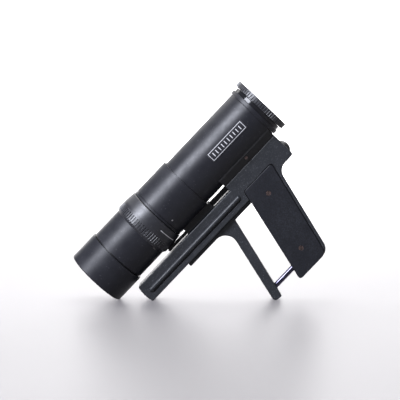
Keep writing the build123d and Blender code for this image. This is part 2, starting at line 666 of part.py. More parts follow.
with BuildPart() as lens_hood:
    turned((HOOD_START, HOOD_R - HOOD_CHAMFER), (HOOD_START + HOOD_CHAMFER, HOOD_R),
           (HOOD_END, HOOD_R), (HOOD_END, HOOD_BORE_R),
           (HOOD_START + HOOD_LIP_END + HOOD_LIP, HOOD_BORE_R),
           (HOOD_START + HOOD_LIP_END, HOOD_BORE_R - HOOD_LIP), (HOOD_START, HOOD_BORE_R - HOOD_LIP))

with BuildPart() as aperture_ring:
    seat = RING_SEAT_R + RUNNING_FIT
    turned((RING_START, seat), (RING_START, BARREL_R), (RING_CHAMFER_END, RING_R - KNURL_CHAMFER),
           (RING_LAND_START, RING_R), (RING_LAND_END, RING_R), (RING_END - EDGE_BREAK, RING_END_R),
           (RING_END, RING_END_R - EDGE_BREAK), (RING_END, seat))
    ribs(RING_KNURL_START, RING_KNURL_END, RING_R, RING_RIBS)

# ---- optics ---------------------------------------------------------------------------------
def glass(front_edge, front_bulge, rear_edge, rear_bulge):
    """A lens element; a bulge is the rise of a face's middle, positive outwards."""
    front = front_edge - front_bulge
    rear = rear_edge + rear_bulge
    with BuildSketch(side) as section:
        with BuildLine():
            Line((front, 0), (rear, 0))
            ThreePointArc((rear, 0), dome_middle(rear_edge, rear_bulge, GLASS_R), (rear_edge, GLASS_R))
            Line((rear_edge, GLASS_R), (front_edge, GLASS_R))
            ThreePointArc((front_edge, GLASS_R), dome_middle(front_edge, -front_bulge, GLASS_R), (front, 0))
        make_face()
    revolve(section.sketch, axis=lens_axis)


with BuildPart() as front_element:
    glass(*FRONT_GLASS)

with BuildPart() as flint_element:
    glass(*FLINT_GLASS)

with BuildPart() as element_spacer:
    turned((SPACER_START, SPACER_BORE_R), (SPACER_START, GLASS_R), (SPACER_END, GLASS_R),
           (SPACER_END, SPACER_BORE_R))

with BuildPart() as rear_element:
    glass(*REAR_GLASS)

with BuildPart() as front_retaining_ring:
    turned((RETAINER_START, RETAINER_BORE_R), (RETAINER_START, GLASS_R), (RETAINER_END, GLASS_R),
           (RETAINER_INNER_END, RETAINER_BORE_R))

# ---- iris -----------------------------------------------------------------------------------
with BuildPart() as iris_plate:
    turned((IRIS_START, IRIS_OPENING_R), (IRIS_START, IRIS_BORE_R), (IRIS_FACE, IRIS_BORE_R),
           (IRIS_FACE, IRIS_OPENING_R))
    with BuildSketch(station(IRIS_FACE)) as pins:
        with PolarLocations(BLADE_PIVOT_R, BLADES):
            Circle(IRIS_PIN_R)
    extrude(pins.sketch, amount=BLADES * BLADE_PITCH + BLADE_CLEARANCE)


def iris_blade(number):
    """One curved blade in its own layer, with the hole for its pivot pin."""
    start = 360.0 / BLADES * number
    pivot = Vector(BLADE_PIVOT_R, 0).rotate(Axis.Z, start)
    root = Vector(BLADE_TRACK_R, 0).rotate(Axis.Z, start)
    track = CenterArc((0, 0), BLADE_TRACK_R, start, BLADE_SWEEP)
    with BuildPart() as blade:
        with BuildSketch(station(IRIS_FACE + BLADE_CLEARANCE + number * BLADE_PITCH)):
            SlotArc(track, BLADE_WIDTH)
            with Locations((pivot + root) / 2):
                SlotCenterToCenter((pivot - root).length, 2 * BLADE_LOBE_R, rotation=start)
            with Locations(pivot):
                Circle(IRIS_PIN_R + RUNNING_FIT, mode=Mode.SUBTRACT)
        extrude(amount=BLADE_THICKNESS)
    return blade


# ---- carriage, bar, slide and lever ---------------------------------------------------------
def slide_screw_shanks(mode=Mode.ADD):
    """The shanks of the two long screws, or with SUBTRACT the ways for them."""
    with BuildSketch(level(PLATE_BOTTOM)) as shanks:
        for along in SLIDE_SCREW_STATIONS:
            with Locations((along, 0)):
                Circle(SLIDE_SCREW_R)
    extrude(shanks.sketch, amount=SLIDE_SCREW_TIP - PLATE_BOTTOM, mode=mode)


def slide_screw_heads(mode=Mode.ADD):
    """The countersunk heads of the two long screws, or with SUBTRACT the sinks for them."""
    with BuildSketch(level(PLATE_BOTTOM)) as heads:
        for along in SLIDE_SCREW_STATIONS:
            with Locations((along, 0)):
                Circle(SLIDE_SCREW_HEAD_R)
    extrude(heads.sketch, amount=SLIDE_SCREW_HEAD_DEPTH, taper=45, mode=mode)


with BuildPart() as carriage_block:
    block(CARRIAGE_START, CARRIAGE_END, CARRIAGE_BOTTOM, CARRIAGE_TOP, CARRIAGE_HALF_WIDTH)
    edges_along = carriage_block.edges().filter_by(lens_axis)
    fillet(edges_along.sort_by(Axis(side.origin, upwards))[:2], CARRIAGE_EDGE_R)
    rod_along(CARRIAGE_START - 1, CARRIAGE_END + 1, 0, FOCUS_TUBE_R, mode=Mode.SUBTRACT)
    block(CARRIAGE_START, CARRIAGE_END, BAR_BOTTOM, BAR_TOP, BAR_HALF_WIDTH, mode=Mode.SUBTRACT)
    slide_screw_shanks(mode=Mode.SUBTRACT)

with BuildPart() as guide_bar:
    prism(BAR_HALF_WIDTH, (BAR_NOSE, BAR_BOTTOM), (CARRIAGE_END, BAR_BOTTOM),
          (CARRIAGE_END, BAR_REAR_BOTTOM), (BAR_END, BAR_REAR_BOTTOM), (BAR_END, BAR_REAR_TOP),
          (CARRIAGE_END, BAR_REAR_TOP), (CARRIAGE_END, BAR_TOP), (BAR_NOSE, BAR_TOP))
    nose_edges = guide_bar.edges().filter_by(Axis.Y).sort_by(lens_axis)[:2]
    fillet(nose_edges, BAR_NOSE_R)
    slide_screw_shanks(mode=Mode.SUBTRACT)

with BuildPart() as slide_block:
    block(BLOCK_START, BLOCK_END, CAVITY_LEVEL - BLOCK_HALF_HEIGHT, CAVITY_LEVEL + BLOCK_HALF_HEIGHT,
          BLOCK_HALF_WIDTH)
    block(UPPER_NECK_START, UPPER_NECK_END, CAVITY_LEVEL, CARRIAGE_BOTTOM, NECK_HALF_WIDTH)
    block(LOWER_NECK_START, LOWER_NECK_END, PLATE_TOP, CAVITY_LEVEL, NECK_HALF_WIDTH)
    slide_screw_shanks(mode=Mode.SUBTRACT)


def arm_front(height):
    """Station of the lever arm's front edge."""
    return ARM_FRONT_TOP + (height - PLATE_BOTTOM) * ARM_FRONT_SLANT


def arm_rear(height):
    """Station of the lever arm's rear edge."""
    return ARM_REAR_TOP + (height - PLATE_BOTTOM) * ARM_REAR_SLANT


with BuildPart() as trigger_lever:
    with BuildSketch(side) as lever_outline:
        with BuildLine():
            Polyline(
                (PLATE_NOSE, PLATE_TOP),
                (PLATE_END, PLATE_TOP),
                (PLATE_END, PLATE_BOTTOM),
                (ARM_REAR_TOP, PLATE_BOTTOM),
                (arm_rear(ARM_HEEL), ARM_HEEL),
                (arm_front(ARM_TOE), ARM_TOE),
                (ARM_FRONT_TOP, PLATE_BOTTOM),
                (PLATE_NOSE, PLATE_BOTTOM),
                close=True,
            )
        make_face()
        for along, height, radius in (
            (ARM_FRONT_TOP, PLATE_BOTTOM, ARM_WEB_R),
            (arm_front(ARM_TOE), ARM_TOE, ARM_TOE_R),
            (arm_rear(ARM_HEEL), ARM_HEEL, ARM_HEEL_R),
            (PLATE_NOSE, PLATE_BOTTOM, PLATE_NOSE_R),
            (PLATE_NOSE, PLATE_TOP, PLATE_NOSE_R),
        ):
            fillet(nearest(lever_outline.vertices(), along, height), radius)
    extrude(amount=LEVER_HALF_WIDTH, both=True)
    for cheek in (trigger_lever.faces().sort_by(Axis.Y)[0], trigger_lever.faces().sort_by(Axis.Y)[-1]):
        fillet(cheek.edges(), LEVER_EDGE_R)
    rod_along(ROD_START, ROD_END, ROD_LEVEL, ROD_R, mode=Mode.SUBTRACT)
    slide_screw_shanks(mode=Mode.SUBTRACT)
    slide_screw_heads(mode=Mode.SUBTRACT)

with BuildPart() as slide_screws:
    slide_screw_shanks()
    slide_screw_heads()
    with BuildSketch(level(PLATE_BOTTOM)) as slots:
        for along in SLIDE_SCREW_STATIONS:
            with Locations((along, 0)):
                Rectangle(2 * SLIDE_SCREW_HEAD_R, SCREW_SLOT, rotation=SLIDE_SCREW_SLOT_ANGLE)
    extrude(slots.sketch, amount=SCREW_SLOT_DEPTH, mode=Mode.SUBTRACT)

with BuildPart() as guide_rod:
    rod_along(ROD_START, ROD_END, ROD_LEVEL, ROD_R)
    chamfer(guide_rod.edges().sort_by(lens_axis)[-1], ROD_CHAMFER)

with BuildPart() as focus_spring:
    coil(BLOCK_END + SPRING_SEAT, CAVITY_END - SPRING_SEAT, CAVITY_LEVEL, SPRING_R, SPRING_WIRE_R,
         SPRING_TURNS)

# ---- bushes in the handle -------------------------------------------------------------------
with BuildPart() as rod_bush:
    rod_along(BUSH_START, BUSH_END, ROD_LEVEL, BUSH_R)
    rod_along(BUSH_START, BUSH_END, ROD_LEVEL, ROD_R + RUNNING_FIT, mode=Mode.SUBTRACT)
    # what would stand out of the handle's slanted front edge is cut away
    prism(HALF_WIDTH, (ROD_START, HANDLE_BOTTOM),
          (handle_front(HANDLE_BOTTOM) + BUSH_RECESS, HANDLE_BOTTOM),
          (handle_front(RAIL_BOTTOM) + BUSH_RECESS, RAIL_BOTTOM), (ROD_START, RAIL_BOTTOM),
          mode=Mode.SUBTRACT)

with BuildPart() as tripod_bush:
    with BuildSketch(level(HANDLE_BOTTOM)):
        with Locations((TRIPOD_STATION, 0)):
            Circle(TRIPOD_R)
            Circle(TRIPOD_BORE_R, mode=Mode.SUBTRACT)
    extrude(amount=TRIPOD_TOP - HANDLE_BOTTOM)

# ---- thumb release --------------------------------------------------------------------------
with BuildPart() as release_button:
    with BuildSketch(side) as profile:
        with BuildLine():
            middle = BUTTON_LEVEL
            rim = middle + BUTTON_R
            Polyline((HEAD_END + BUTTON_DOME, middle), (CONE_TIP, middle),
                     (CONE_TIP + BUTTON_STEM_R, middle + BUTTON_STEM_R),
                     (BUTTON_CAP, middle + BUTTON_STEM_R), (BUTTON_CAP, rim), (HEAD_END, rim))
            dome_along, dome_radius = dome_middle(HEAD_END, BUTTON_DOME, BUTTON_R)
            ThreePointArc((HEAD_END, rim), (dome_along, middle + dome_radius),
                          (HEAD_END + BUTTON_DOME, middle))
        make_face()
    revolve(axis=Axis(place(0, BUTTON_LEVEL), backwards))

with BuildPart() as release_spring:
    coil(BUTTON_SHOULDER + BUTTON_SPRING_SEAT, BUTTON_CAP - BUTTON_SPRING_SEAT, BUTTON_LEVEL,
         BUTTON_SPRING_R, BUTTON_SPRING_WIRE_R, BUTTON_SPRING_TURNS)

with BuildPart() as release_pin:
    rod_across(RELEASE_STATION, BUTTON_LEVEL, RELEASE_PIN_START, RELEASE_PIN_END, RELEASE_PIN_R, 1)

with BuildPart() as cable_socket:
    rod_across(RELEASE_STATION, BUTTON_LEVEL, SOCKET_START, HALF_WIDTH, SOCKET_R, 1)
    rod_across(RELEASE_STATION, BUTTON_LEVEL, HALF_WIDTH, SOCKET_FACE, SOCKET_COLLAR_R, 1)
    rod_across(RELEASE_STATION, BUTTON_LEVEL, SOCKET_START, HALF_WIDTH, RELEASE_PIN_R + RUNNING_FIT, 1,
               mode=Mode.SUBTRACT)
    rod_across(RELEASE_STATION, BUTTON_LEVEL, SOCKET_BORE_START, SOCKET_FACE, SOCKET_BORE_R, 1,
               mode=Mode.SUBTRACT)

# ---- export ---------------------------------------------------------------------------------
pieces = {
    "grip_frame": grip_frame,
    "left_grip_scale": left_grip_scale,
    "right_grip_scale": right_grip_scale,
    "scale_screws": scale_screws,
    "barrel_saddle": barrel_saddle,
    "saddle_screws": saddle_screws,
    "rear_tube": rear_tube,
    "rear_lip_ring": rear_lip_ring,
    "camera_neck": camera_neck,
    "camera_ring": camera_ring,
    "tube_baffles": tube_baffles,
    "name_plate": name_plate,
    "focus_tube": focus_tube,
    "lens_barrel": lens_barrel,
    "barrel_set_screws": barrel_set_screws,
    "tube_guide_ring": tube_guide_ring,
    "hood_felt_ring": hood_felt_ring,
    "lens_hood": lens_hood,
    "aperture_ring": aperture_ring,
    "front_element": front_element,
    "flint_element": flint_element,
    "element_spacer": element_spacer,
    "rear_element": rear_element,
    "front_retaining_ring": front_retaining_ring,
    "iris_plate": iris_plate,
    "carriage_block": carriage_block,
    "guide_bar": guide_bar,
    "slide_block": slide_block,
    "trigger_lever": trigger_lever,
    "slide_screws": slide_screws,
    "guide_rod": guide_rod,
    "focus_spring": focus_spring,
    "rod_bush": rod_bush,
    "tripod_bush": tripod_bush,
    "release_button": release_button,
    "release_spring": release_spring,
    "release_pin": release_pin,
    "cable_socket": cable_socket,
}
for number in range(BLADES):
    pieces[f"iris_blade_{number + 1}"] = iris_blade(number)

os.makedirs("parts", exist_ok=True)
for name, piece in pieces.items():
    piece.part.label = name
    export_step(piece.part, f"parts/{name}.step")
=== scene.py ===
import json
import math

import bmesh
import bpy
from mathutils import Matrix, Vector
from mathutils.bvhtree import BVHTree


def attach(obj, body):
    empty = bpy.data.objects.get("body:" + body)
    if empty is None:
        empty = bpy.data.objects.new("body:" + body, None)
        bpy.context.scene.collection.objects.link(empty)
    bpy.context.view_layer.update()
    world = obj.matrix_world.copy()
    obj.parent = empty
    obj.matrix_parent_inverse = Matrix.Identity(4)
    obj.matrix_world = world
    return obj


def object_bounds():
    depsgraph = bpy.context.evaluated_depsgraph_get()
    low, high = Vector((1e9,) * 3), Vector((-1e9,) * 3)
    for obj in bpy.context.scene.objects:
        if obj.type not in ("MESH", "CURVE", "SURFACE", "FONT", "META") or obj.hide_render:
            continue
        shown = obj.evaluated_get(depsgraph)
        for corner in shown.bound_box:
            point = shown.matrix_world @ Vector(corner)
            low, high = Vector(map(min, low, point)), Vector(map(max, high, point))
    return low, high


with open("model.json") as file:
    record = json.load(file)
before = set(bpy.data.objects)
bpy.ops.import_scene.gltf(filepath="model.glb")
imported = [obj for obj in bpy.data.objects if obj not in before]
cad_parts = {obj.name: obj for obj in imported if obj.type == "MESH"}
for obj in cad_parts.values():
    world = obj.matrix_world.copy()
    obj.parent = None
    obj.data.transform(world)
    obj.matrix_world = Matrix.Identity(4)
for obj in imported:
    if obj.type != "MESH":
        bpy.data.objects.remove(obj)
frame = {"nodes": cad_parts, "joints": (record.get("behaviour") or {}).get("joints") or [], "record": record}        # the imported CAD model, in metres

CAD_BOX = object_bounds()
MM = 0.001

# The lens has its own directions: backwards along its axis towards the camera body, left towards
# the viewer, and upwards away from the handle. Both come from the aperture ring's joint.
ring_joint = next(joint for joint in frame["joints"] if joint["name"] == "aperture_turn")
CENTRE = Vector(ring_joint["pos_m"])
BACKWARDS = Vector(ring_joint["axis"])
LEFT = Vector((0, -1, 0))
UPWARDS = Vector((-BACKWARDS.z, 0, BACKWARDS.x))
TILT = math.atan2(BACKWARDS.z, BACKWARDS.x)

# The camera looks squarely at the left flank from a little above.
CAMERA_TARGET = Vector((0.0008, 0, 0.1071))
CAMERA_ELEVATION = math.radians(5.5)
CAMERA_DISTANCE = 1.73
CAMERA_LENS = 145.3        # millimetres, on a sensor 36 mm wide
SENSOR_WIDTH = 36

# The table top runs from in front of the object to a bend, which carries it up into the wall.
TABLE_FRONT = -5.0
TABLE_NEAR = -1.0
TABLE_BEND = 1.6
TABLE_HALF_WIDTH = 6.0
WALL_PLACE = 3.6
WALL_TOP = 5.0
BEND_STEPS = 24

# ---- sizes of the painted marks --------------------------------------------------------------
MARK_LIFT = 0.03 * MM      # paint stands this far out of the surface under it
MARK_SINK = 0.15 * MM      # and its underside lies this far inside it
INDEX_ARC_PLACE = 18.2 * MM          # middle of the arc, behind the ring's front face
INDEX_ARC_HALF_WIDTH = 0.5 * MM
INDEX_ARC_ANGLES = (-22.5, -65.0)
INDEX_ARC_STEPS = 22
DASH_WIDTH = 0.8 * MM
DASH_GAP = 0.8 * MM                  # between the dash and the aperture ring
DASH_ANGLES = (-38.0, -46.0)
DASH_STEPS = 6
PLATE_MIDDLE = 2.0                   # angles on the name plate, in degrees round the barrel
PLATE_HALF_HEIGHT = 8.9
PLATE_BAR_HALF_HEIGHT = 4.3
PLATE_INSET = 1.6 * MM
PLATE_LINE = 0.55 * MM
PLATE_BAR = 0.9 * MM
PLATE_BARS = 10
PLATE_MARGIN = 6.0 * MM              # from each end of the plate to its nearest bar
PLATE_STEPS = 9
STOPS = ("4.5", "5.6", "8", "11", "16", "22")
STOP_HEIGHT = 3.6 * MM
STOP_PLACE = 4.6 * MM                # of the figures and ticks, in front of the ring's rear face
TICK_START = 3.2 * MM
TICK_END = 0.9 * MM
TICK_HALF_WIDTH = 0.5                # degrees
INDEX_START = 0.7 * MM               # index line, behind the focus tube's front face
INDEX_END = 2.3 * MM
INDEX_HALF_WIDTH = 0.7               # degrees
TOP_ANGLE = 90.0


# ---- places on the frame ---------------------------------------------------------------------
def span(node):
    """Where a CAD node starts and ends along the lens axis, measured from the ring's middle."""
    stations = [(v.co - CENTRE).dot(BACKWARDS) for v in frame["nodes"][node].data.vertices]
    return min(stations), max(stations)


def outwards(angle):
    """The direction square to the lens axis at an angle above the left side, in degrees."""
    turn = math.radians(angle)
    return LEFT * math.cos(turn) + UPWARDS * math.sin(turn)


def surface(node):
    """A function that gives the outer radius of a CAD node at a station and an angle."""
    data = frame["nodes"][node].data
    tree = BVHTree.FromPolygons([v.co for v in data.vertices], [list(p.vertices) for p in data.polygons])
    reach = 0.1

    def radius(along, angle):
        start = CENTRE + BACKWARDS * along + outwards(angle) * reach
        hit = tree.ray_cast(start, -outwards(angle), reach)[0]
        return (hit - CENTRE - BACKWARDS * along).length

    return radius


# ---- camera, floor and light -----------------------------------------------------------------
def aim(thing, target):
    """Turns a camera or a light towards a point."""
    thing.rotation_mode = "QUATERNION"
    thing.rotation_quaternion = (Vector(target) - thing.location).to_track_quat("-Z", "Y")


def make_camera():
    """A long lens, square to the object's flank."""
    camera = bpy.data.objects.new("camera", bpy.data.cameras.new("camera"))
    camera.data.lens = CAMERA_LENS
    camera.data.sensor_width = SENSOR_WIDTH
    direction = Vector((0, -math.cos(CAMERA_ELEVATION), math.sin(CAMERA_ELEVATION)))
    camera.location = CAMERA_TARGET + direction * CAMERA_DISTANCE
    aim(camera, CAMERA_TARGET)
    bpy.context.scene.collection.objects.link(camera)
    bpy.context.scene.camera = camera


def softbox(name, direction, distance, width, height, power, colour):
    """A rectangular area light that shines on the middle of the object from a direction."""
    target = (CAD_BOX[0] + CAD_BOX[1]) / 2
    data = bpy.data.lights.new(name, "AREA")
    data.shape = "RECTANGLE"
    data.size = width
    data.size_y = height
    data.energy = power
    data.color = colour
    light = bpy.data.objects.new(name, data)
    light.location = target + Vector(direction).normalized() * distance
    aim(light, target)
    bpy.context.scene.collection.objects.link(light)
    return light


def linked(name, thing, state):
    """A light linking collection that takes in or leaves out one object."""
    collection = bpy.data.collections.new(name)
    collection.objects.link(thing)
    collection.collection_objects[0].light_linking.link_state = state
    return collection


def make_lights(floor):
    """A broad softbox overhead and a little behind, one up to the left, and a lit wall.

    The two softboxes leave the floor out. It has a light of its own from behind, which throws the
    object's shadow forwards, and a shadowless fill, which keeps that shadow pale.
    """
    overhead = softbox("overhead", direction=(-0.05, 0.40, 1.0), distance=1.5, width=2.0, height=2.0,
                       power=50.0, colour=(1.0, 0.99, 0.98))
    overhead.light_linking.receiver_collection = linked("overhead_receivers", floor, "EXCLUDE")
    sweep = softbox("floor_sweep", direction=(-0.10, 0.60, 0.90), distance=1.8, width=2.0, height=1.6,
                    power=30.0, colour=(1.0, 0.99, 0.965))
    sweep.light_linking.receiver_collection = linked("sweep_receivers", floor, "INCLUDE")
    key = softbox("key", direction=(-0.60, -0.61, 0.57), distance=1.3, width=0.55, height=0.55,
                  power=40.0, colour=(0.86, 0.89, 1.0))
    key.light_linking.receiver_collection = linked("key_receivers", floor, "EXCLUDE")
    fill = softbox("floor_fill", direction=(0.0, 0.0, 1.0), distance=2.0, width=3.0, height=3.0,
                   power=86.0, colour=(0.935, 0.92, 1.0))
    fill.light_linking.receiver_collection = linked("fill_receivers", floor, "INCLUDE")
    fill.light_linking.blocker_collection = linked("fill_blockers", floor, "INCLUDE")
    wash = softbox("wall_wash", direction=(0.0, 0.75, 0.65), distance=2.4, width=3.0, height=0.8,
                   power=520.0, colour=(1.0, 1.0, 1.0))
    aim(wash, (0, 3.0, 0.6))
    bpy.context.scene.view_settings.view_transform = "Standard"
    world = bpy.data.worlds.new("room")
    world.use_nodes = True
    background = world.node_tree.nodes["Background"]
    background.inputs["Color"].default_value = (0.90, 0.94, 1.0, 1)
    background.inputs["Strength"].default_value = 0.24
    bpy.context.scene.world = world


def make_floor():
    """A pale table top that curves up into a pale wall a good way behind the object."""
    radius = WALL_PLACE - TABLE_BEND
    profile = [(TABLE_FRONT, 0.0), (TABLE_NEAR, 0.0)]
    for step in range(BEND_STEPS + 1):
        turn = math.radians(90 * step / BEND_STEPS)
        profile.append((TABLE_BEND + radius * math.sin(turn), radius * (1 - math.cos(turn))))
    profile.append((WALL_PLACE, WALL_TOP))
    mesh = bmesh.new()
    rows = [[mesh.verts.new((x, y, z)) for x in (-TABLE_HALF_WIDTH, TABLE_HALF_WIDTH)]
            for y, z in profile]
    for low, high in zip(rows, rows[1:]):
        mesh.faces.new((low[0], low[1], high[1], high[0])).smooth = True
    data = bpy.data.meshes.new("floor")
    mesh.to_mesh(data)
    mesh.free()
    floor = bpy.data.objects.new("floor", data)
    bpy.context.scene.collection.objects.link(floor)
    floor.data.materials.append(floor_finish())
    return floor


# ---- node materials --------------------------------------------------------------------------
class Finish:
    """A material with the steps that the finishes share. Its coordinates lie along the lens."""

    def __init__(self, name, metallic=0.0, specular=0.5):
        self.material = bpy.data.materials.new(name)
        self.material.use_nodes = True
        self.tree = self.material.node_tree
        self.shader = self.tree.nodes["Principled BSDF"]
        self.shader.inputs["Metallic"].default_value = metallic
        self.shader.inputs["Specular IOR Level"].default_value = specular
        coordinates = self.tree.nodes.new("ShaderNodeTexCoord")
        mapping = self.tree.nodes.new("ShaderNodeMapping")
        mapping.inputs["Rotation"].default_value = (0, TILT, 0)
        self.tree.links.new(coordinates.outputs["Object"], mapping.inputs["Vector"])
        self.place = mapping.outputs["Vector"]
        self.normal = None

    def set(self, socket, value):
        """Puts a number, a colour or another node's output into a socket."""
        if isinstance(value, bpy.types.NodeSocket):
            self.tree.links.new(value, socket)
        elif isinstance(value, tuple) and len(value) == 3 and socket.type == "RGBA":
            socket.default_value = (*value, 1)
        else:
            socket.default_value = value

    def stretched(self, scale):
        """The coordinates, scaled by direction: along the lens, across it and upwards."""
        mapping = self.tree.nodes.new("ShaderNodeMapping")
        mapping.inputs["Scale"].default_value = scale
        self.tree.links.new(self.place, mapping.inputs["Vector"])
        return mapping.outputs["Vector"]

    def noise(self, size, detail=2.0, roughness=0.5, distortion=0.0, scale=(1, 1, 1)):
        """Cloudy noise, 0 to 1, with features about as large as size, in metres."""
        node = self.tree.nodes.new("ShaderNodeTexNoise")
        node.inputs["Scale"].default_value = 1 / size
        node.inputs["Detail"].default_value = detail
        node.inputs["Roughness"].default_value = roughness
        node.inputs["Distortion"].default_value = distortion
        self.tree.links.new(self.stretched(scale), node.inputs["Vector"])
        return node.outputs["Fac"]

    def cells(self, size, feature="F1", randomness=1.0):
        """Distance to the nearest cell's middle, or to its edge, for grains and wrinkles."""
        node = self.tree.nodes.new("ShaderNodeTexVoronoi")
        node.feature = feature
        node.inputs["Scale"].default_value = 1 / size
        node.inputs["Randomness"].default_value = randomness
        self.tree.links.new(self.place, node.inputs["Vector"])
        return node.outputs["Distance"]

    def range(self, value, low, high, start=0.0, end=1.0):
        """Stretches a value between low and high to run from start to end."""
        node = self.tree.nodes.new("ShaderNodeMapRange")
        self.set(node.inputs["Value"], value)
        node.inputs["From Min"].default_value = low
        node.inputs["From Max"].default_value = high
        node.inputs["To Min"].default_value = start
        node.inputs["To Max"].default_value = end
        return node.outputs["Result"]

    def maths(self, operation, a, b=0.0):
        """Arithmetic on two values."""
        node = self.tree.nodes.new("ShaderNodeMath")
        node.operation = operation
        self.set(node.inputs[0], a)
        self.set(node.inputs[1], b)
        return node.outputs["Value"]

    def mix(self, share, a, b):
        """Colour a where share is 0 and colour b where it is 1."""
        node = self.tree.nodes.new("ShaderNodeMix")
        node.data_type = "RGBA"
        self.set(node.inputs["Factor"], share)
        self.set(node.inputs["A"], a)
        self.set(node.inputs["B"], b)
        return node.outputs["Result"]

    def edges(self, width, low=0.02, high=0.25):
        """1 on the sharp edges of the mesh and 0 on its flat faces."""
        bevel = self.tree.nodes.new("ShaderNodeBevel")
        bevel.samples = 4
        bevel.inputs["Radius"].default_value = width
        geometry = self.tree.nodes.new("ShaderNodeNewGeometry")
        dot = self.tree.nodes.new("ShaderNodeVectorMath")
        dot.operation = "DOT_PRODUCT"
        self.tree.links.new(bevel.outputs["Normal"], dot.inputs[0])
        self.tree.links.new(geometry.outputs["Normal"], dot.inputs[1])
        return self.range(self.maths("SUBTRACT", 1.0, dot.outputs["Value"]), low, high)

    def painted_crevice_shade(self, reach=2.2 * MM):
        """Painted shade mask from occlusion: 1 deep in joints, grooves and inner corners, where shade
        falls, and 0 on open faces.
        """
        occlusion = self.tree.nodes.new("ShaderNodeAmbientOcclusion")
        occlusion.samples = 6
        occlusion.inputs["Distance"].default_value = reach
        return self.range(occlusion.outputs["AO"], 0.72, 0.40)

    def bump(self, height, depth, strength=1.0):
        """Raises the surface by a height texture, in metres; later bumps add to earlier ones."""
        node = self.tree.nodes.new("ShaderNodeBump")
        node.inputs["Strength"].default_value = strength
        node.inputs["Distance"].default_value = depth
        self.set(node.inputs["Height"], height)
        if self.normal:
            self.tree.links.new(self.normal, node.inputs["Normal"])
        self.normal = node.outputs["Normal"]

    def done(self, colour, roughness):
        """Joins colour, roughness and the bumps to the shader and returns the material."""
        self.set(self.shader.inputs["Base Color"], colour)
        self.set(self.shader.inputs["Roughness"], roughness)
        if self.normal:
            self.tree.links.new(self.normal, self.shader.inputs["Normal"])
        return self.material


def floor_finish():
    """A pale satin table top with a trace of grain and very faint grey patches."""
    finish = Finish("pale_table", specular=0.10)
    patches = finish.noise(0.5, detail=3)
    finish.bump(finish.noise(1.5 * MM, detail=1), 0.04 * MM, 0.4)
    colour = finish.mix(patches, (0.285, 0.281, 0.287), (0.300, 0.296, 0.294))
    return finish.done(colour, finish.range(patches, 0.3, 0.7, 0.36, 0.40))


def crinkle_paint():
    """Black crinkle lacquer on cast aluminium, rubbed thin at its edges, with painted shade darkening
    its joints and inner corners.
    """
    finish = Finish("crinkle_lacquer", specular=0.34)
    wrinkles = finish.cells(0.75 * MM, "SMOOTH_F1")
    grain = finish.noise(1.1 * MM, detail=3, roughness=0.6, distortion=0.6)
    clouds = finish.noise(12 * MM, detail=3, roughness=0.6)
    wear_patches = finish.range(finish.noise(6 * MM, detail=3), 0.42, 0.62)
    rubbed = finish.maths("MULTIPLY", finish.edges(0.7 * MM), wear_patches)
    finish.bump(wrinkles, 0.16 * MM, 0.6)
    finish.bump(grain, 0.24 * MM, 0.6)
    base = finish.mix(clouds, (0.013, 0.0142, 0.0170), (0.022, 0.0237, 0.0275))
    speckled = finish.mix(finish.range(grain, 0.58, 0.72), base, (0.074, 0.079, 0.088))
    worn = finish.mix(rubbed, speckled, (0.15, 0.15, 0.16))
    # painted shade: joints, grooves and inner corners darkened to near-black
    colour = finish.mix(finish.painted_crevice_shade(), worn, (0.004, 0.004, 0.005))
    roughness = finish.range(clouds, 0.3, 0.7, 0.36, 0.48)
    return finish.done(colour, roughness)


def satin_black(name="satin_anodised", specular=0.24, edge_wear_and_highlight=(0.07, 0.07, 0.08)):
    """Satin black anodised aluminium: turning marks, handling marks and fine dust, with painted shade
    darkening its grooves and joints.
    """
    finish = Finish(name, specular=specular)
    turning = finish.noise(0.7 * MM, detail=2, scale=(1, 0.02, 0.02))
    patches = finish.noise(14 * MM, detail=4, roughness=0.62, distortion=0.4)
    dust = finish.range(finish.noise(1.6 * MM, detail=1, roughness=0.4), 0.70, 0.78)
    wear_patches = finish.range(finish.noise(4 * MM, detail=3), 0.45, 0.7)
    rubbed = finish.maths("MULTIPLY", finish.edges(0.4 * MM), wear_patches)
    finish.bump(turning, 0.02 * MM, 0.35)
    finish.bump(finish.noise(0.5 * MM, detail=2), 0.03 * MM, 0.35)
    base = finish.mix(patches, (0.0082, 0.0085, 0.0112), (0.0145, 0.0149, 0.0192))
    dusty = finish.mix(finish.maths("MULTIPLY", dust, 0.35), base, (0.10, 0.10, 0.11))
    # edge colour: rubbed wear, and on the knurled rings also a painted highlight on the rib crests
    worn = finish.mix(rubbed, dusty, edge_wear_and_highlight)
    # painted shade: grooves, joints and inner corners darkened to near-black
    colour = finish.mix(finish.painted_crevice_shade(), worn, (0.003, 0.003, 0.004))
    roughness = finish.range(patches, 0.3, 0.7, 0.34, 0.46)
    return finish.done(colour, roughness)


def matt_black():
    """Matt black lacquer with a fine tooth."""
    finish = Finish("matt_lacquer", specular=0.3)
    clouds = finish.noise(9 * MM, detail=3)
    finish.bump(finish.noise(0.6 * MM, detail=2), 0.06 * MM, 0.5)
    colour = finish.mix(clouds, (0.010, 0.010, 0.011), (0.019, 0.019, 0.021))
    wear_patches = finish.range(finish.noise(3 * MM, detail=2), 0.45, 0.65)
    rubbed = finish.maths("MULTIPLY", finish.edges(0.4 * MM), wear_patches)
    worn = finish.mix(rubbed, colour, (0.09, 0.09, 0.095))
    return finish.done(worn, finish.range(clouds, 0.3, 0.7, 0.5, 0.66))


def gloss_black():
    """Polished black enamel with hairline marks."""
    finish = Finish("gloss_enamel", specular=0.22)
    marks = finish.noise(1.2 * MM, detail=2, scale=(1, 0.05, 0.05))
    smears = finish.noise(8 * MM, detail=3)
    finish.bump(marks, 0.01 * MM, 0.3)
    colour = finish.mix(smears, (0.007, 0.007, 0.008), (0.013, 0.013, 0.015))
    return finish.done(colour, finish.range(smears, 0.3, 0.7, 0.08, 0.13))


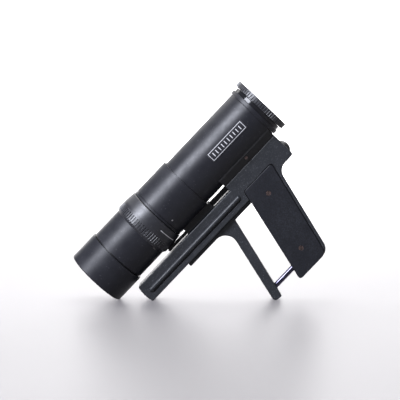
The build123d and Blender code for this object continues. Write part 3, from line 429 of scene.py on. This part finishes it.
def scale_plastic():
    """Moulded black plastic with a pebbled grain that handling has polished in places."""
    finish = Finish("pebbled_plastic", specular=0.24)
    pebbles = finish.cells(1.1 * MM, "SMOOTH_F1")
    handled = finish.noise(20 * MM, detail=4, roughness=0.6, distortion=0.5)
    finish.bump(pebbles, 0.22 * MM, 0.5)
    finish.bump(finish.noise(0.4 * MM, detail=2), 0.05 * MM, 0.4)
    base = finish.mix(finish.range(handled, 0.3, 0.7), (0.011, 0.0120, 0.0165), (0.019, 0.0205, 0.027))
    colour = finish.mix(finish.range(pebbles, 0.1, 0.6), base, (0.009, 0.0095, 0.012))
    return finish.done(colour, finish.range(handled, 0.3, 0.7, 0.42, 0.56))


def button_plastic():
    """Smooth black plastic, polished by a thumb in the middle."""
    finish = Finish("thumb_plastic", specular=0.5)
    handled = finish.noise(3 * MM, detail=3)
    finish.bump(finish.noise(0.4 * MM, detail=2), 0.02 * MM, 0.4)
    colour = finish.mix(handled, (0.011, 0.011, 0.012), (0.020, 0.020, 0.022))
    return finish.done(colour, finish.range(handled, 0.3, 0.7, 0.30, 0.42))


def plate_black():
    """Thin black enamelled plate, darker and smoother than the tube."""
    finish = Finish("plate_enamel", specular=0.42)
    clouds = finish.noise(6 * MM, detail=3)
    finish.bump(finish.noise(0.5 * MM, detail=2), 0.02 * MM, 0.4)
    colour = finish.mix(clouds, (0.0085, 0.0088, 0.0115), (0.0140, 0.0145, 0.0180))
    return finish.done(colour, finish.range(clouds, 0.3, 0.7, 0.38, 0.46))


def metal(name, dark, light, rough_low, rough_high, brushed):
    """Bare metal with brushing of a given size, and dull patches."""
    finish = Finish(name, metallic=1.0)
    tarnish = finish.noise(4 * MM, detail=4, roughness=0.6)
    brushing = finish.noise(brushed, detail=2, scale=(0.06, 1, 1))
    finish.bump(brushing, 0.01 * MM, 0.35)
    colour = finish.mix(finish.range(tarnish, 0.3, 0.7), dark, light)
    return finish.done(colour, finish.range(brushing, 0.3, 0.7, rough_low, rough_high))


def screw_copper():
    """Dull coppery screws, with black lacquer left in their corners."""
    finish = Finish("coppered_screw", metallic=0.85)
    dirt = finish.noise(1.2 * MM, detail=3, roughness=0.6)
    finish.bump(finish.noise(0.4 * MM, detail=2), 0.03 * MM, 0.5)
    colour = finish.mix(finish.range(dirt, 0.40, 0.62), (0.15, 0.105, 0.095), (0.040, 0.032, 0.032))
    return finish.done(colour, finish.range(dirt, 0.3, 0.7, 0.36, 0.6))


def coated_glass():
    """Lens glass with a violet coating and a little dust."""
    finish = Finish("coated_glass", specular=0.6)
    finish.shader.inputs["Transmission Weight"].default_value = 1.0
    finish.shader.inputs["IOR"].default_value = 1.55
    finish.shader.inputs["Coat Weight"].default_value = 0.6
    finish.shader.inputs["Coat Roughness"].default_value = 0.02
    finish.shader.inputs["Coat Tint"].default_value = (0.75, 0.60, 1.0, 1)
    dust = finish.range(finish.noise(1.8 * MM, detail=1), 0.72, 0.8)
    colour = finish.mix(finish.maths("MULTIPLY", dust, 0.3), (0.93, 0.92, 0.97), (0.7, 0.7, 0.7))
    return finish.done(colour, finish.range(dust, 0, 1, 0.01, 0.12))


def felt():
    """Black felt with a matted nap."""
    finish = Finish("black_felt", specular=0.1)
    nap = finish.noise(0.4 * MM, detail=4, roughness=0.7, distortion=1.0)
    finish.bump(nap, 0.2 * MM, 0.8)
    finish.shader.inputs["Sheen Weight"].default_value = 0.4
    return finish.done(finish.mix(nap, (0.008, 0.008, 0.009), (0.030, 0.030, 0.033)), 0.95)


def slide_plastic():
    """Off-white low-friction plastic with faint rubbing marks."""
    finish = Finish("slide_plastic", specular=0.35)
    rubbed = finish.noise(1.5 * MM, detail=3, scale=(0.2, 1, 1))
    finish.bump(rubbed, 0.03 * MM, 0.4)
    return finish.done(finish.mix(rubbed, (0.52, 0.50, 0.46), (0.66, 0.64, 0.60)), 0.45)


def marking_paint(name, dark, light):
    """Marking paint in shallow engraving, a little chipped and yellowed."""
    finish = Finish(name, specular=0.35)
    chips = finish.range(finish.noise(1.1 * MM, detail=3, roughness=0.6), 0.64, 0.72)
    finish.bump(finish.noise(0.4 * MM, detail=2), 0.02 * MM, 0.5)
    aged = finish.mix(finish.noise(4 * MM, detail=2), dark, light)
    return finish.done(finish.mix(chips, aged, (0.10, 0.10, 0.11)), 0.5)


FINISHES = {
    "crinkle_paint": crinkle_paint(),
    "satin_black": satin_black(),
    "matt_black": matt_black(),
    "gloss_black": gloss_black(),
    "scale_plastic": scale_plastic(),
    "button_plastic": button_plastic(),
    "plate_black": plate_black(),
    "screw_copper": screw_copper(),
    "brass": metal("bare_brass", (0.48, 0.33, 0.12), (0.62, 0.45, 0.19), 0.28, 0.42, 0.6 * MM),
    "chrome": metal("blued_rod", (0.050, 0.048, 0.075), (0.085, 0.080, 0.115), 0.16, 0.26, 0.5 * MM),
    "steel": metal("plain_steel", (0.30, 0.30, 0.31), (0.46, 0.46, 0.48), 0.30, 0.46, 0.6 * MM),
    "iris_steel": metal("blackened_steel", (0.022, 0.022, 0.026), (0.045, 0.045, 0.050), 0.35, 0.5,
                        0.5 * MM),
    "coated_glass": coated_glass(),
    "felt": felt(),
    "slide_plastic": slide_plastic(),
}
# Pale knurl crests: partly rubbed-bare wear, partly a painted highlight along the ribs
KNURL_WEAR_AND_HIGHLIGHT = satin_black("knurl_wear_and_painted_highlight", 0.5, (0.40, 0.40, 0.43))
WHITE = marking_paint("white_marking", (0.46, 0.46, 0.47), (0.60, 0.60, 0.62))
WORN_WHITE = marking_paint("worn_marking", (0.10, 0.095, 0.09), (0.16, 0.155, 0.145))


def paint_nodes():
    """Gives each CAD node the finish of its material slot in the record."""
    for row in frame["record"]["subparts"]:
        node = frame["nodes"][row["node"]]
        node.data.materials.clear()
        node.data.materials.append(FINISHES[row["material_slot"]])
    # The knurled rings get pale crests, which are wear and a painted highlight
    for name in ("camera_ring", "aperture_ring"):
        frame["nodes"][name].data.materials[0] = KNURL_WEAR_AND_HIGHLIGHT


# ---- painted marks ---------------------------------------------------------------------------
def wrapped_band(name, node, starts, ends, angles, body, paint=None):
    """A closed painted band on a round CAD node.

    It follows a list of angles, with a start and an end station for each, so that a straight line
    along the lens, an arc round it and a slanted stroke are all bands.
    """
    radius = surface(node)
    mesh = bmesh.new()
    rows = []
    for start, end, angle in zip(starts, ends, angles):
        row = []
        corners = ((start, MARK_LIFT), (end, MARK_LIFT), (end, -MARK_SINK), (start, -MARK_SINK))
        for along, lift in corners:
            reach = radius((start + end) / 2, angle) + lift
            row.append(mesh.verts.new(CENTRE + BACKWARDS * along + outwards(angle) * reach))
        rows.append(row)
    for row, following in zip(rows, rows[1:]):
        for corner in range(4):
            after = (corner + 1) % 4
            mesh.faces.new((row[corner], row[after], following[after], following[corner]))
    mesh.faces.new(reversed(rows[0]))
    mesh.faces.new(rows[-1])
    bmesh.ops.recalc_face_normals(mesh, faces=mesh.faces)
    data = bpy.data.meshes.new(name)
    mesh.to_mesh(data)
    mesh.free()
    band = bpy.data.objects.new(name, data)
    bpy.context.scene.collection.objects.link(band)
    band.data.materials.append(paint or WHITE)
    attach(band, body)
    return band


def spread(start, end, count):
    """Evenly spaced numbers from start to end, both included."""
    return [start + (end - start) * step / (count - 1) for step in range(count)]


def make_index_arc():
    """The long white mark round the near side of the aperture ring."""
    middle = span("aperture_ring")[0] + INDEX_ARC_PLACE
    start = middle - INDEX_ARC_HALF_WIDTH
    end = middle + INDEX_ARC_HALF_WIDTH
    angles = spread(*INDEX_ARC_ANGLES, INDEX_ARC_STEPS)
    wrapped_band("index_arc", "aperture_ring", [start] * INDEX_ARC_STEPS, [end] * INDEX_ARC_STEPS,
                 angles, "aperture_ring")


def make_low_dash():
    """A short worn dash low on the barrel, just in front of the aperture ring."""
    end = span("aperture_ring")[0] - DASH_GAP
    angles = spread(*DASH_ANGLES, DASH_STEPS)
    wrapped_band("preset_dash", "lens_barrel", [end - DASH_WIDTH] * DASH_STEPS, [end] * DASH_STEPS,
                 angles, "focusing_slide", WORN_WHITE)


def make_plate_marks():
    """A thin rectangular border and a row of plain upright bars on the blank name plate."""
    start, end = span("name_plate")
    front = start + PLATE_INSET
    rear = end - PLATE_INSET
    line_angle = math.degrees(PLATE_LINE / surface("name_plate")((start + end) / 2, PLATE_MIDDLE))
    lower = PLATE_MIDDLE - PLATE_HALF_HEIGHT
    upper = PLATE_MIDDLE + PLATE_HALF_HEIGHT - line_angle
    for name, low in (("border_lower", lower), ("border_upper", upper)):
        wrapped_band(name, "name_plate", [front] * 2, [rear] * 2, [low, low + line_angle], "grip")
    strokes = [("border_front", front, PLATE_LINE, PLATE_HALF_HEIGHT),
               ("border_rear", rear - PLATE_LINE, PLATE_LINE, PLATE_HALF_HEIGHT)]
    bars = spread(start + PLATE_MARGIN, end - PLATE_MARGIN - PLATE_BAR, PLATE_BARS)
    for number, along in enumerate(bars, 1):
        strokes.append((f"plate_bar_{number}", along, PLATE_BAR, PLATE_BAR_HALF_HEIGHT))
    for name, along, width, reach in strokes:
        angles = spread(PLATE_MIDDLE - reach, PLATE_MIDDLE + reach, PLATE_STEPS)
        wrapped_band(name, "name_plate", [along] * PLATE_STEPS, [along + width] * PLATE_STEPS, angles,
                     "grip")


def wrapped_figures(name, text, node, along, angle, height, body):
    """Painted figures laid round a CAD node, upright for someone behind the camera."""
    curve = bpy.data.curves.new(name, "FONT")
    curve.body = text
    curve.size = height
    curve.align_x = "CENTER"
    curve.extrude = (MARK_LIFT + MARK_SINK) / 2
    holder = bpy.data.objects.new("figure_holder", curve)
    data = bpy.data.meshes.new_from_object(holder)
    data.name = name
    bpy.data.objects.remove(holder)
    radius = surface(node)
    for vertex in data.vertices:
        across, forwards, depth = vertex.co
        turn = angle + math.degrees(across / radius(along, angle))
        reach = radius(along - forwards, turn) + depth + (MARK_LIFT - MARK_SINK) / 2
        vertex.co = CENTRE + BACKWARDS * (along - forwards) + outwards(turn) * reach
    figures = bpy.data.objects.new(name, data)
    bpy.context.scene.collection.objects.link(figures)
    data.materials.clear()
    data.materials.append(WHITE)
    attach(figures, body)


def make_aperture_scale():
    """Stops round the top of the aperture ring, and the index line on the focus tube."""
    end = span("aperture_ring")[1]
    step = ring_joint["range_deg"][1] / (len(STOPS) - 1)
    for number, stop in enumerate(STOPS):
        label = "stop_" + stop.replace(".", "_")
        angle = TOP_ANGLE + number * step
        wrapped_figures(label, stop, "aperture_ring", end - STOP_PLACE, angle, STOP_HEIGHT,
                        "aperture_ring")
        wrapped_band(label + "_tick", "aperture_ring", [end - TICK_START] * 2, [end - TICK_END] * 2,
                     [angle - TICK_HALF_WIDTH, angle + TICK_HALF_WIDTH], "aperture_ring")
    front = span("focus_tube")[0]
    wrapped_band("aperture_index", "focus_tube", [front + INDEX_START] * 2, [front + INDEX_END] * 2,
                 [TOP_ANGLE - INDEX_HALF_WIDTH, TOP_ANGLE + INDEX_HALF_WIDTH], "focusing_slide")


make_camera()
make_lights(make_floor())
paint_nodes()
make_index_arc()
make_low_dash()
make_plate_marks()
make_aperture_scale()
